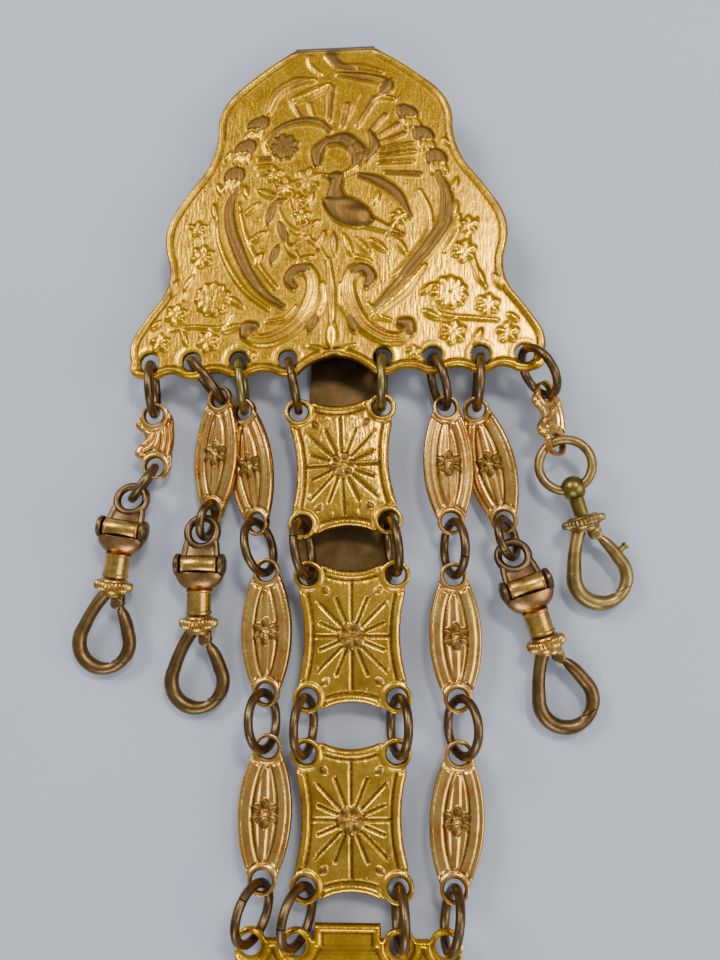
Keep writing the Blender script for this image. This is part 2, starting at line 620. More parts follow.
def with_eyes(d, x, y, holes, r):
    """Outline with a round eye about each hole."""
    return np.minimum(d, nearest(x, y, holes) - r)


# ---------------------------------------------------------------- hook plate
def plate_loop():
    """The plate's outline: its side, a scallop under each hole and the arch, and then their mirror."""
    half = edge_points(PLATE_SIDE)
    for k in (3, 2, 1, 0):
        x = HOLE_X[k]
        half += bow((x + HOLE_R, EDGE_Y), (x - HOLE_R, EDGE_Y), 0.25)
        after = (HOLE_X[k - 1] + HOLE_R, EDGE_Y) if k else (0, ARCH_Y)
        half += bow((x - HOLE_R, EDGE_Y), after, -0.6)
    return [tuple(p) for p in half] + [(0, ARCH_Y)] + [(-p[0], p[1]) for p in reversed(half)]


def husk(art, cx, cy, lean):
    """Three-lobed husk: rubbed cap above, bright tips hanging below."""
    for k in (-1, 0, 1):
        art.leaf(cx + 0.8 * k, cy + 0.25 - 0.2 * abs(k), 2.6, 1.4, lean + 14 * k, 0.54, 1.4, 0, 0.5, 0.8)
        art.leaf(cx + 0.85 * k - 0.02 * (90 - lean), cy - 1.75 + 0.12 * abs(k), 2.3, 0.95, lean + 10 * k,
                 0.46, 0.0, 0, 0.5, 0.8)


# middle x and y, length, width, turn and wear of the loose leaves
LEAVES_ON_PLATE = (
    (-9.6, 10.6, 3.2, 1.3, 155, 0.5), (-11.6, 8.4, 2.8, 1.2, 40, 0.3), (-9.0, 7.4, 3.6, 1.4, 75, 0.75),
    (-7.2, 4.6, 3.8, 1.5, 110, 0.75), (-6.0, 1.8, 3.2, 1.4, 130, 0.5), (-8.4, 1.2, 3.4, 1.3, 72, 0.7),
    (-10.8, 4.0, 3.2, 1.3, 35, 0.4), (-3.6, 5.2, 4.0, 1.3, 32, 0.0), (-4.6, 3.1, 3.4, 1.3, 35, 0.6),
    (-10.6, 0.6, 2.6, 1.1, 60, 0.2), (-5.6, 8.9, 2.8, 1.2, 100, 0.5), (-3.4, 9.6, 2.6, 1.1, 70, 0.3),
    (-1.9, 3.2, 3.4, 1.2, 68, 0.5), (-0.1, 2.6, 4.0, 1.1, 92, 0.6), (1.8, 2.4, 3.8, 1.2, 110, 0.2),
    (3.8, 2.2, 3.6, 1.2, 128, 0.3), (6.0, 2.2, 3.2, 1.2, 140, 0.1), (7.8, 4.6, 2.8, 1.1, 60, 0.1),
    (5.9, 9.4, 2.4, 1.0, 70, 0.1), (9.2, 2.0, 3.0, 1.1, 118, 0.0), (-8.0, 9.2, 2.6, 1.2, 20, 0.6),
    (-4.2, 0.4, 3.0, 1.1, 20, 0.4), (3.9, 0.2, 2.8, 1.0, 160, 0.2), (-12.6, 11.0, 2.2, 1.0, 100, 0.2),
    (-20.3, -2.6, 3.0, 1.1, 60, 0.1), (-14.2, -9.4, 3.0, 1.1, 20, 0.2), (-20.6, -10.6, 2.8, 1.0, 110, 0.1),
    (19.8, -2.8, 3.0, 1.1, 110, 0.1), (13.2, -8.2, 3.0, 1.1, 150, 0.1), (19.2, -11.4, 2.6, 1.0, 60, 0.1),
    (16.8, 7.4, 2.6, 1.0, 80, 0.2), (-17.0, 8.2, 2.6, 1.0, 100, 0.2), (-22.2, -3.2, 2.6, 1.0, 70, 0.1),
    (22.2, -3.6, 2.6, 1.0, 110, 0.1), (-16.4, 11.6, 2.2, 0.9, 110, 0.3), (16.9, 11.2, 2.2, 0.9, 70, 0.1),
    (-13.6, -5.6, 2.6, 1.0, 140, 0.2), (12.6, -4.4, 2.4, 1.0, 40, 0.1), (-24.6, -8.6, 2.0, 0.9, 40, 0.1),
    (24.0, -8.8, 2.0, 0.9, 140, 0.1), (-15.2, 16.8, 2.0, 0.9, 60, 0.2), (15.8, 17.8, 1.8, 0.8, 120, 0.1),
)
# middle x and y, radius, petals and wear of the florets
FLORETS_ON_PLATE = (
    (-3.8, 12.6, 1.9, 6, 0.55), (-6.9, 11.6, 1.6, 5, 0.4), (-5.2, 9.4, 1.2, 5, 0.3),
    (-8.6, 13.6, 1.3, 5, 0.3), (-4.6, 6.9, 1.3, 5, 0.4), (9.0, 6.4, 1.2, 5, 0.2), (-18.5, 1.4, 1.7, 6, 0.25),
    (-16.9, -5.0, 2.5, 11, 0.25), (-17.4, -11.1, 1.6, 6, 0.2), (-21.9, -7.2, 1.6, 6, 0.15),
    (-19.2, 5.6, 1.2, 5, 0.2), (-23.9, -11.2, 1.4, 5, 0.1), (17.8, 1.0, 1.7, 6, 0.2),
    (15.6, -5.0, 2.4, 11, 0.15), (15.9, -10.7, 1.8, 6, 0.1), (20.7, -6.9, 1.6, 6, 0.1),
    (18.6, 4.9, 1.3, 5, 0.2), (23.2, -11.0, 1.5, 5, 0.1), (-11.6, -13.4, 1.0, 5, 0.1),
    (10.6, -13.4, 1.0, 5, 0.1),
)
# pairs of ends and width of the sun's raised rays
RAYS = (
    ((-0.4, 27.3), (-0.8, 21.9), 0.9), ((1.9, 24.4), (1.1, 20.9), 0.9), ((5.6, 25.2), (3.3, 21.0), 0.95),
    ((7.2, 22.5), (5.0, 19.9), 0.75), ((8.9, 20.9), (6.4, 19.1), 0.65), ((9.9, 19.4), (6.5, 18.0), 0.6),
    ((11.2, 17.8), (6.3, 16.9), 0.6), ((11.5, 16.4), (6.3, 15.9), 0.55), ((11.0, 14.9), (6.2, 14.8), 0.55),
    ((12.0, 12.9), (7.2, 13.3), 0.7), ((-3.6, 24.8), (-3.0, 22.6), 0.7), ((-6.0, 24.8), (-4.9, 22.6), 0.7),
    ((-10.8, 16.2), (-8.9, 16.2), 0.6), ((-11.0, 14.9), (-8.9, 15.1), 0.55),
    ((-10.6, 13.7), (-9.0, 13.9), 0.5),
)


def plate_art(art, d_field, border):
    """Bird before a sun, between scrolls, with festoons above and florets below."""
    art.h += ridge(d_field, border * 0.5, border, 0.42)
    art.cut = np.maximum(art.cut, line_at(d_field, border + 0.12, 0.16) * 0.6)
    art.worn = np.maximum(art.worn, 0.5 * (ridge(d_field, border * 0.5, border, 1) > 0.4))
    # the middle of the plate is slightly cushioned
    art.h += 0.25 * np.exp(-((art.x / 11) ** 2 + ((art.y - 6) / 13) ** 2))
    base = art.h.copy()
    art.h[:] = 0
    stroke = art.stroke
    # side stalks, each of three lines
    stroke([(-13.8, 11.6), (-14.8, 8.8), (-14.6, 5.6), (-13.4, 2.0), (-11.7, -1.8), (-9.6, -4.6),
            (-7.0, -6.5)],
           (0.7, 1.7, 1.9, 1.6, 0.6), 0.58, 0.92, 0.6, 0.45)
    stroke([(-13.5, 9.4), (-13.0, 6.2), (-11.9, 2.6), (-10.2, -0.8), (-8.2, -3.6)], (0.4, 0.9, 0.7), 0.42,
           0.15)
    stroke([(-16.6, 7.4), (-16.2, 3.4), (-14.5, -0.8), (-12.2, -4.2), (-9.2, -6.7)], (0.4, 0.9, 0.6), 0.4,
           0.25)
    stroke([(14.5, 12.9), (15.6, 9.4), (15.2, 5.6), (13.4, 2.5), (10.8, -0.8), (8.2, -4.0), (5.4, -6.9)],
           (1.1, 2.3, 2.2, 1.7, 0.6), 0.6, 0.92, 0.6, 0.5)
    stroke([(12.0, 10.4), (13.3, 6.8), (12.9, 3.6), (10.6, 0.4), (8.2, -2.4)], (0.4, 1.0, 0.6), 0.42, 0.3)
    stroke([(17.3, 6.4), (16.9, 3.8), (15.2, 1.0)], (0.4, 0.9, 0.4), 0.35, 0.1)
    stroke([(12.4, -0.9), (9.4, -4.4), (5.2, -8.2)], (0.6, 2.0, 1.2), 0.55, 0.0, 0.8)
    # fluted scrolls under the bird
    for pts in (((-5.6, -3.7), (-6.4, -2.5), (-5.5, -1.2), (-4.0, -1.0), (-3.0, -2.8), (-3.3, -5.6),
                 (-5.1, -8.9), (-8.2, -10.9), (-10.8, -11.2), (-12.2, -10.4)),
                ((4.4, -3.7), (5.0, -2.5), (4.0, -1.2), (2.6, -1.5), (1.8, -3.6), (2.4, -6.6), (3.9, -9.3),
                 (6.3, -11.1), (8.6, -11.5), (10.0, -10.5))):
        stroke(pts, (1.0, 1.6, 2.1, 2.3, 2.0, 1.3), 0.62, 0.5, 0.55, 0.5)
        stroke(pts[:4], (1.1, 1.5, 1.7, 1.2), 0.64, 1.0, 0.55, 0.2)
    stroke([(-11.0, -9.2), (-12.0, -9.4), (-12.3, -10.4)], (1.5, 2.2, 1.5), 0.6, 1.0)
    stroke([(9.0, -9.2), (9.9, -9.5), (10.2, -10.5)], (1.5, 2.2, 1.5), 0.6, 1.0)
    stroke([(-9.4, -8.6), (-6.9, -8.2), (-5.4, -6.4)], (0.4, 0.9, 0.5), 0.35, 0.2)
    stroke([(7.6, -8.8), (5.6, -8.0), (4.6, -6.4)], (0.4, 0.9, 0.5), 0.35, 0.1)
    # middle drop and its side leaves
    stroke([(-0.9, 0.2), (-0.6, -3.0), (-0.4, -6.0), (-0.4, -9.2)], (0.8, 1.5, 0.9), 0.55, 0.6, 0.6, 0.3)
    art.leaf(-0.4, -10.9, 4.2, 1.9, 90, 0.62, 0.1, 0, 0.6, 0.8)
    stroke([(-1.5, -3.2), (-1.5, -6.0), (-2.6, -8.0)], (0.5, 1.0, 0.9), 0.42, 0.35)
    art.leaf(-3.0, -9.0, 3.2, 1.5, 68, 0.5, 0.75, 0, 0.6, 0.8)
    stroke([(0.7, -3.4), (0.9, -6.2), (1.9, -8.2)], (0.5, 1.0, 0.9), 0.42, 0.35)
    art.leaf(2.3, -9.2, 3.0, 1.4, 112, 0.5, 0.7, 0, 0.6, 0.8)
    stroke([(-3.6, -12.2), (-2.0, -12.6), (-0.4, -13.2), (1.2, -12.6), (2.8, -12.2)],
           (0.4, 0.8, 0.6, 0.8, 0.4), 0.3, 0.1)
    # festoons
    stroke([(-9.6, 23.6), (-8.4, 26.6), (-5.6, 28.4), (-3.0, 28.6)], (0.9, 1.6, 1.7, 0.7), 0.5, 0.55, 0.6,
           0.3)
    stroke([(-5.8, 25.4), (-3.4, 26.5), (-0.9, 27.6)], (1.2, 1.6, 0.9), 0.58, 0.0)
    stroke([(0.6, 29.4), (4.0, 28.8), (7.0, 27.9), (7.8, 26.6)], (0.7, 1.5, 1.6, 1.1), 0.5, 0.7, 0.6, 0.3)
    art.leaf(7.5, 26.9, 3.2, 2.2, 60, 0.55, 0.85)
    stroke([(1.8, 30.8), (4.2, 30.4), (6.9, 29.5)], (0.6, 1.1, 0.5), 0.4, 0.0)
    stroke([(5.4, 24.6), (6.6, 25.4), (8.6, 25.0)], (0.5, 0.9, 0.5), 0.35, 0.0)
    stroke([(-0.6, 32.6), (0.4, 31.2), (3.0, 30.0)], (1.9, 1.5, 0.7), 0.28, 0.75)
    stroke([(-3.6, 32.4), (-3.4, 31.0), (-2.0, 29.6)], (0.9, 0.8, 0.5), 0.22, 0.35)
    # sun behind: raised rays with dark lines between them
    for a, b, w in RAYS:
        stroke([a, b], (w, w * 0.7), 0.36, 0.66)
    for a, b in (((0.7, 26.4), (0.2, 21.6)), ((3.8, 25.6), (2.2, 21.3)), ((7.8, 21.8), (5.8, 19.6)),
                 ((11.2, 17.1), (6.4, 16.4)), ((11, 15.6), (6.3, 15.35)), ((-1.9, 25.5), (-1.9, 22.6)),
                 ((10.6, 18.7), (6.5, 17.5)), ((11.4, 14.1), (6.6, 14.1))):
        art.groove([a, b], 0.34, 0.1, 0.6)
    for cx, cy, r, petals, worn in FLORETS_ON_PLATE:
        art.floret(cx, cy, r, 0.46, petals, worn)
    for cx, cy, length, width, turn, worn in LEAVES_ON_PLATE:
        art.leaf(cx, cy, length, width, turn, 0.44, worn, 0, 0.55, 0.85)
    stroke([(-6.9, 12.6), (-8.2, 9.6), (-6.6, 5.6), (-2.6, 2.6), (-0.9, -0.2)], (0.5, 0.8, 0.8, 0.6), 0.34,
           0.5)
    for pts in ([(-20.6, 6.2), (-18.4, 3.6), (-19.6, -0.6), (-21.0, -5.0)],
                [(-14.2, -7.4), (-15.4, -9.2), (-19.6, -9.0), (-22.6, -9.4)],
                [(19.8, 5.8), (18.4, 3.0), (19.2, -1.0), (20.6, -4.6)],
                [(13.4, -6.6), (14.6, -8.2), (18.6, -8.8), (22.0, -9.2)]):
        stroke(pts, (0.4, 0.7, 0.6, 0.4), 0.3, 0.2)
    # small flower with an arch over it
    art.floret(-7.2, 17.9, 2.1, 0.5, 9, 0.85)
    stroke([(-9.5, 18.8), (-7.6, 21.1), (-4.5, 22.0), (-2.0, 21.5), (-0.8, 20.3)], (0.5, 1.0, 1.3, 0.9),
           0.45, 0.75)
    stroke([(-9.6, 17.0), (-10.0, 18.8), (-8.6, 20.8)], (0.4, 0.6, 0.4), 0.3, 0.2)
    # husks down each side
    for cx, cy, lean in ((-10.9, 21.7, 60), (-12.7, 18.0, 68), (-14.2, 13.7, 76), (10.3, 22.7, 118),
                         (12.5, 19.1, 110), (14.3, 15.4, 102)):
        husk(art, cx, cy, lean)
    # branch behind the bird
    stroke([(3.4, 13.0), (6.2, 12.0), (8.8, 9.8), (10.6, 6.2)], (0.7, 1.7, 1.7, 0.5), 0.46, 0.82)
    # the bird itself, with its raised wings
    stroke([(4.4, 5.9), (7.0, 4.7), (9.6, 3.6)], (2.4, 1.5, 0.4), 0.5, 0.62, 0.6, 0.2)
    art.leaf(1.9, 7.4, 8.2, 4.5, -27, 0.9, 1.1, 1.6, 0.55, 0.72)
    stroke([(0.4, 12.2), (0.1, 10.9), (0.2, 9.2)], (1.9, 2.2, 3.2), 0.72, 0.9)
    art.leaf(0.2, 12.7, 2.5, 2.0, 0, 0.8, 0.9, 0, 0.5, 0.9)
    stroke([(-0.6, 12.9), (-2.0, 13.3)], (0.7, 0.25), 0.5, 0.5)
    stroke([(-2.5, 14.8), (-2.4, 17.0), (-1.0, 18.7)], (1.1, 2.2, 1.3), 0.66, 0.92, 0.6, 0.15)
    stroke([(-1.0, 18.3), (1.4, 18.7), (3.3, 16.8), (3.1, 14.8)], (1.2, 2.4, 2.7, 1.4), 0.68, 0.92, 0.6, 0.15)
    stroke([(5.0, 19.7), (5.7, 17.5), (4.6, 15.3)], (0.7, 1.8, 0.8), 0.55, 0.82)
    stroke([(1.6, 13.2), (2.9, 14.1), (3.6, 15.2)], (1.0, 1.4, 0.6), 0.6, 0.0)
    for a, b in (((-1.6, 15.6), (-1.4, 17.6)), ((0.4, 18.0), (1.2, 19.3)), ((1.6, 16.9), (3.2, 18.3)),
                 ((2.4, 16.0), (4.2, 16.6))):
        art.groove([a, b], 0.3, 0.1, 0.4)
    art.h += base
    # each hole has a faint lip, and is dark where its ring rubs
    for hx, hy in PLATE_HOLES:
        rim = np.hypot(art.x - hx, art.y - hy)
        art.h += 0.1 * np.exp(-(((rim - 1.75) / 0.3) ** 2))
        art.cut = np.maximum(art.cut, np.clip(1.0 - (rim - HOLE_R) / 0.5, 0, 0.8))


class CHATELAINE_OT_hook_plate(bpy.types.Operator):
    """Stamped hook plate with its ornament, the fold at its top and the belt tongue"""
    bl_idname = "chatelaine.hook_plate"
    bl_label = "Hook plate"

    def execute(self, context):
        sizes = context.scene.chatelaine_sizes
        mats = materials(context)
        loop = plate_loop()

        def distance(x, y):
            return pierced(polygon_distance(x, y, loop), x, y, PLATE_HOLES, HOLE_R)

        def draw(art):
            plate_art(art, polygon_distance(art.x, art.y, loop), sizes.border / MM)
            # the sheet bends down into the fold at its top, and is rubbed brown there
            fall = np.clip(art.y - FOLD_Y, 0, FOLD_R * 0.97)
            art.worn = np.maximum(art.worn, 0.6 * np.clip((art.y - FOLD_Y + 1.3) / 1.8, 0, 1))
            art.h *= PLATE_RELIEF * sizes.relief * np.clip(1 - fall / 1.6, 0, 1)
            art.h -= FOLD_R - np.sqrt(FOLD_R ** 2 - fall ** 2)

        plate = stamped("stamped_plate", distance, draw, (-28.6, 28.6, -16.8, 34.4), sizes.plate_step / MM,
                        SHEET, PLATE_Z, mats["plate"])
        settle(plate, "root", "gilt_sheet", "hook_plate")
        self.tongue(mats)
        return {"FINISHED"}

    def tongue(self, mats):
        """The sheet carried round the fold and down the back to its rounded end"""
        lean = math.tan(math.radians(TONGUE_LEAN))
        bend, gilded, columns = 15, 13, 24
        # y, z and half width of each row, and the way its outer face looks in z and y
        rows = []
        for k in range(bend):
            a = math.pi * (0.15 + 0.85 * k / (bend - 1))
            c, s = math.cos(a), math.sin(a)
            rows.append((FOLD_Y + FOLD_R * s, FOLD_R + FOLD_R * c, TONGUE_HALF, c, s))
        rows += [(y, 0.0, x, -1.0, 0.0) for x, y in edge_points(TONGUE_SIDE, 14)[1:-1]]
        points, faces = [], []
        for inset in (0, SHEET):
            for y, z, half, nz, ny in rows:
                across = (FOLD_Y - y) * lean * (y < FOLD_Y)
                for k in range(columns + 1):
                    points.append(((-1 + 2 * k / columns) * half + across, y - ny * inset, z - nz * inset))
        n, m = len(rows), columns + 1

        def at(side, i, k):
            return (side * n + i) * m + k

        for i in range(n - 1):
            for k in range(columns):
                faces.append((at(0, i, k), at(0, i, k + 1), at(0, i + 1, k + 1), at(0, i + 1, k)))
                faces.append((at(1, i, k + 1), at(1, i, k), at(1, i + 1, k), at(1, i + 1, k + 1)))
            for k in (0, columns):
                wall = at(0, i, k), at(0, i + 1, k), at(1, i + 1, k), at(1, i, k)
                faces.append(wall[::-1] if k else wall)
        for i in (0, n - 1):
            for k in range(columns):
                wall = at(0, i, k), at(0, i, k + 1), at(1, i, k + 1), at(1, i, k)
                faces.append(wall if i else wall[::-1])
        # the front's gilding ends before the back
        slots = [0 if min(f) % (n * m) // m < gilded else 1 for f in faces]
        worn = np.where(np.array(points)[:, 1] > FOLD_Y, 0.8, 0)
        tongue = to_object("belt_tongue", points, faces, [mats["plate"], mats["tongue"]], 50,
                           {"worn": worn, "groove": np.zeros(len(points))}, slots)
        settle(tongue, "root", "gilt_sheet", "hook_plate")


# ---------------------------------------------------------------- links
def link_matrix(pose, length):
    """Place of a link that leans between the heights of its upper and lower holes."""
    x, y, turn, upper, lower, roll = pose
    tilt = math.degrees(math.asin((upper - lower) / length))
    return placed((x, y, (upper + lower) / 2), (turn, "Z"), (tilt, "X"), (roll, "Y"))


def stamp_links(context, poses, renamed, distance, draw, half, detail, length, finish):
    """A link for each pose; half is half the grid's size, detail its step as a share of the link step."""
    sizes = context.scene.chatelaine_sizes
    w, h = half
    for node, pose in poses.items():
        name = node
        for old, fresh in renamed:
            name = name.replace(old, fresh)
        link = stamped(name, distance, draw, (-w, w, -h, h), sizes.link_step / MM * detail, LINK_T,
                       -LINK_T / 2, materials(context)[finish], link_matrix(pose, length), sizes.relief)
        settle(link, "root", "gilt_links", node)


def eye_lips(art, holes, at):
    """Rounded lip round each hole, darkened by the ring that rubs in it."""
    near = nearest(art.x, art.y, holes)
    inside = np.clip((near - at - 0.35) / 0.5, 0, 1)
    lip = 0.3 * np.sqrt(np.clip(1 - ((near - at) / 0.46) ** 2, 0, 1))
    rubbed = np.clip(1.15 - (near - 1.2) / 0.45, 0, 0.75)
    art.h = np.where(near < at + 0.9, np.maximum(art.h * inside, lip), art.h)
    art.cut = np.where(near < at + 0.9, np.maximum(art.cut * inside, rubbed), art.cut)
    art.worn = np.where(near < at + 0.35, np.maximum(art.worn * inside, 0.42), art.worn)


def square_distance(x, y):
    """Outline of a square link without its eyes."""
    d = np.maximum(np.abs(x) - SQUARE_HALF[0], np.abs(y) - SQUARE_HALF[1])
    for s in (-1, 1):
        d = np.maximum(d, SQUARE_SIDE_ARC[0] - np.hypot(x - s * SQUARE_SIDE_ARC[1], y))
        d = np.maximum(d, SQUARE_END_ARC[0] - np.hypot(x, y - s * SQUARE_END_ARC[1]))
    return d


def square_art(art, core):
    """Bead and groove round a cushion with sixteen engraved rays, a floret and small punched leaves."""
    art.h += ridge(core, 0.55, 1.1, 0.4)
    art.h += 0.3 * np.clip(1 - (art.x / 6.4) ** 2, 0, 1) * np.clip(1 - (art.y / 8.4) ** 2, 0, 1)
    art.cut = np.maximum(art.cut, line_at(core, 1.25, 0.22) * 0.7)
    art.h -= line_at(core, 1.25, 0.24) * 0.1
    art.worn = np.maximum(art.worn, np.where(ridge(core, 0.55, 1.1, 1) > 0.5, 0.3, 0))
    # reach of the rays from the upright one to the level one and on to the next upright one
    for k, far in enumerate((6.6, 5.2, 6.3, 4.4, 4.7, 4.4, 6.3, 5.2) * 2):
        art.ray(0, 0, 90 - k * 22.5, 1.9, far, 0.62, 0.24, 0.72)
    art.petals(0, 0, 1.2, 6, 10, 1.3, 1.3, 0.5, 0.8, 0.9)
    art.leaf(0, 0, 1.2, 1.2, 0, 0.6, 0.5, 0, 0.6, 0.9)
    for sx in (-1, 1):
        for sy in (-1, 1):
            art.leaf(sx * 3.4, sy * 5.7, 1.3, 1.1, 45 * sx * sy, 0.34, 0.7)
            art.leaf(sx * 1.7, sy * 6.6, 0.9, 0.5, 90, 0.2, 0.2)
            art.leaf(sx * 4.5, sy * 4.1, 0.9, 0.5, 90, 0.2, 0.2)


def navette_distance(x, y):
    """Outline of a navette between its two bowed sides."""
    r, away = NAVETTE_ARC
    return np.maximum(np.hypot(x - away, y), np.hypot(x + away, y)) - r


def navette_art(art, core):
    """Rim, cushioned band, and a fluted panel with a floret."""
    art.h += ridge(core, 0.3, 0.6, 0.3)
    art.h += 0.34 * np.clip(1 - ((-core - 1.15) / 0.62) ** 2, 0, 1) ** 0.5
    art.cut = np.maximum(art.cut, line_at(core, 0.55, 0.1) * 0.45)
    art.cut = np.maximum(art.cut, line_at(core, 1.8, 0.12) * 0.75)
    art.worn = np.maximum(art.worn, np.where(ridge(core, 0.3, 0.6, 1) > 0.5, 0.25, 0))
    panel = np.clip((-core - 1.85) / 0.3, 0, 1)
    # the flutes draw together towards the ends
    flutes = np.abs(np.cos(art.x / np.clip(1 - (art.y / 8.2) ** 2, 0.12, 1) * 2.6))
    art.h += panel * (0.14 + 0.22 * flutes)
    art.cut = np.maximum(art.cut, panel * np.clip(0.5 - 2.2 * flutes, 0, 0.4))
    art.petals(0, 0, 1.15, 6, 30, 1.35, 1.35, 0.58, 0.72, 0.9)
    art.leaf(0, 0, 1.0, 1.0, 0, 0.68, 0.4, 0, 0.6, 0.9)


# x, y and swell towards the next turn of the scrolled leaf link
LEAF_SIDE = (
    (-0.6, 5.0, 0.5), (1.9, 4.2, 0.3), (2.6, 1.8, 0.2), (2.2, -1.8, 0.2), (1.9, -4.2, 0.5),
    (-0.2, -5.1, 0.5), (-1.7, -3.4, 0), (-1.6, -2.6, 1.0), (-2.0, -0.4, 0), (-1.2, 0.2, 0),
    (-1.5, 1.2, 1.0), (-1.7, 3.6, 0.2), (-0.6, 5.0, 0),
)
# points and widths of its ribs
LEAF_RIBS = (
    (((1.1, 4.6), (1.9, 3.2), (2.1, 0.2), (1.5, -2.6), (1.2, -4.4)), (0.6, 0.9, 1.0, 0.6)),
    (((0.6, 2.3), (1.2, 1.0), (1.1, -0.8), (0.4, -2.3)), (0.5, 0.9, 1.0, 0.6)),
    (((0.5, 2.2), (0.5, 0.9), (-0.2, -0.6), (-1.5, -1.3)), (0.5, 0.9, 1.2, 0.9)),
    (((0.1, 2.1), (-0.2, 1.0), (-0.9, -0.1), (-1.6, -0.4)), (0.4, 0.7, 0.9, 0.6)),
    (((0.1, 2.2), (-0.7, 2.5), (-1.7, 2.5)), (0.6, 1.0, 1.1)),
    (((-0.6, 3.6), (-1.2, 3.5), (-1.7, 3.1)), (0.6, 0.8, 0.6)),
    (((-0.3, -2.4), (-1.1, -2.2), (-1.8, -1.9)), (0.5, 0.8, 0.7)),
)


def leaf_art(art, core):
    """Scrolled leaf: a cushioned body with ribs that fan out from its stalk."""
    art.h += 0.34 * np.sqrt(np.clip(-core / 0.8, 0, 1))
    for points, widths in LEAF_RIBS:
        art.stroke(points, widths, 0.62, 0.2, 0.7)


class CHATELAINE_OT_square_links(bpy.types.Operator):
    """Three square links with hollow sides, engraved rays and a floret"""
    bl_idname = "chatelaine.square_links"
    bl_label = "Square links"

    def execute(self, context):
        holes = [(sx * SQUARE_W / 2, sy * SQUARE_H / 2) for sx in (-1, 1) for sy in (-1, 1)]

        def distance(x, y):
            eyed = with_eyes(square_distance(x, y), x, y, holes, 1.9)
            return pierced(eyed, x, y, holes, LINK_HOLE_R)

        def draw(art):
            square_art(art, square_distance(art.x, art.y))
            eye_lips(art, holes, 1.62)

        stamp_links(context, SQUARES, [("centre_link", "square_link")], distance, draw, (7.8, 9.8), 1,
                    SQUARE_H, "square")
        return {"FINISHED"}


class CHATELAINE_OT_navette_links(bpy.types.Operator):
    """Eight navette links with a border, flutes and a floret"""
    bl_idname = "chatelaine.navette_links"
    bl_label = "Navette links"

    def execute(self, context):
        holes = [(0, s * NAVETTE_H / 2) for s in (-1, 1)]

        def distance(x, y):
            body = np.maximum(navette_distance(x, y), np.abs(y) - NAVETTE_H / 2)
            return pierced(with_eyes(body, x, y, holes, 1.75), x, y, holes, LINK_HOLE_R)

        def draw(art):
            navette_art(art, navette_distance(art.x, art.y))
            eye_lips(art, holes, 1.55)

        stamp_links(context, NAVETTES, [("drop_navette", "navette_drop"), ("link", "navette")], distance,
                    draw, (3.6, 9.6), 0.85, NAVETTE_H, "link")
        return {"FINISHED"}


class CHATELAINE_OT_leaf_links(bpy.types.Operator):
    """Two scrolled leaf links at the outer drops"""
    bl_idname = "chatelaine.leaf_links"
    bl_label = "Leaf links"

    def execute(self, context):
        holes = [(0, s * LEAF_H / 2) for s in (-1, 1)]
        loop = edge_points(LEAF_SIDE)[:-1]

        def distance(x, y):
            return pierced(polygon_distance(x, y, loop), x, y, holes, LINK_HOLE_R)

        def draw(art):
            leaf_art(art, distance(art.x, art.y))
            eye_lips(art, holes, 1.6)

        stamp_links(context, LEAVES, [("drop_leaf", "leaf_drop")], distance, draw, (3.4, 5.8), 0.7, LEAF_H,
                    "link")
        return {"FINISHED"}


class CHATELAINE_OT_lower_plate(bpy.types.Operator):
    """Small stamped plate that gathers the runs, with an eye for the watch hook"""
    bl_idname = "chatelaine.lower_plate"
    bl_label = "Lower plate"

    def execute(self, context):
        sizes = context.scene.chatelaine_sizes
        half = edge_points(LOWER_SIDE)
        loop = half + [np.array([-p[0], p[1]]) for p in reversed(half)]
        holes = [(s * x, 0) for x in LOWER_HOLE_X for s in (-1, 1)]

        def body(x, y):
            d = with_eyes(polygon_distance(x, y, loop), x, y, holes + [LOWER_EYE], 1.95)
            bar = np.maximum(np.abs(x) - 13.4, np.abs(y + 0.45) - 1.15)
            step = np.maximum(np.abs(x) - 4, np.abs(y - 0.7) - 1.7)
            return np.minimum(np.minimum(d, bar), step)

        def distance(x, y):
            return pierced(pierced(body(x, y), x, y, holes, HOLE_R), x, y, [LOWER_EYE], LINK_HOLE_R)

        def draw(art):
            core = np.maximum(body(art.x, art.y), 1.7 - nearest(art.x, art.y, holes + [LOWER_EYE]))
            art.h += ridge(core, 0.45, 0.9, 0.4)
            art.cut = np.maximum(art.cut, line_at(core, 1.05, 0.16) * 0.8)
            art.floret(0, -7, 2.2, 0.45, 6, 0.5)
            for k in range(8):
                art.ray(0, -7, 45 * k, 2.7, 4.4 if k % 2 else 5.2, 0.45, 0.16, 1.0)
            for s in (-1, 1):
                scroll = [(s * 9.6, -2.6), (s * 8.8, -5.6), (s * 6.2, -7.8), (s * 5.6, -6.2)]
                art.stroke(scroll, (0.5, 0.9, 0.7), 0.4, 0.5, flute=0.2)
                art.stroke([(s * 4.4, -12.6), (s * 2.8, -14.2), (s * 1.0, -15.6)], (0.8, 0.7, 0.4), 0.35, 0.3)
                art.floret(s * 10.8, -3.4, 1.1, 0.35, 5, 0.2)

        plate = stamped("lower_stamped_plate", distance, draw, (-14.6, 14.6, -21, 3),
                        sizes.link_step / MM * 1.3, LINK_T, -LINK_T / 2, materials(context)["plate"],
                        placed(LOWER), sizes.relief)
        settle(plate, "root", "gilt_sheet", "lower_plate")
        return {"FINISHED"}


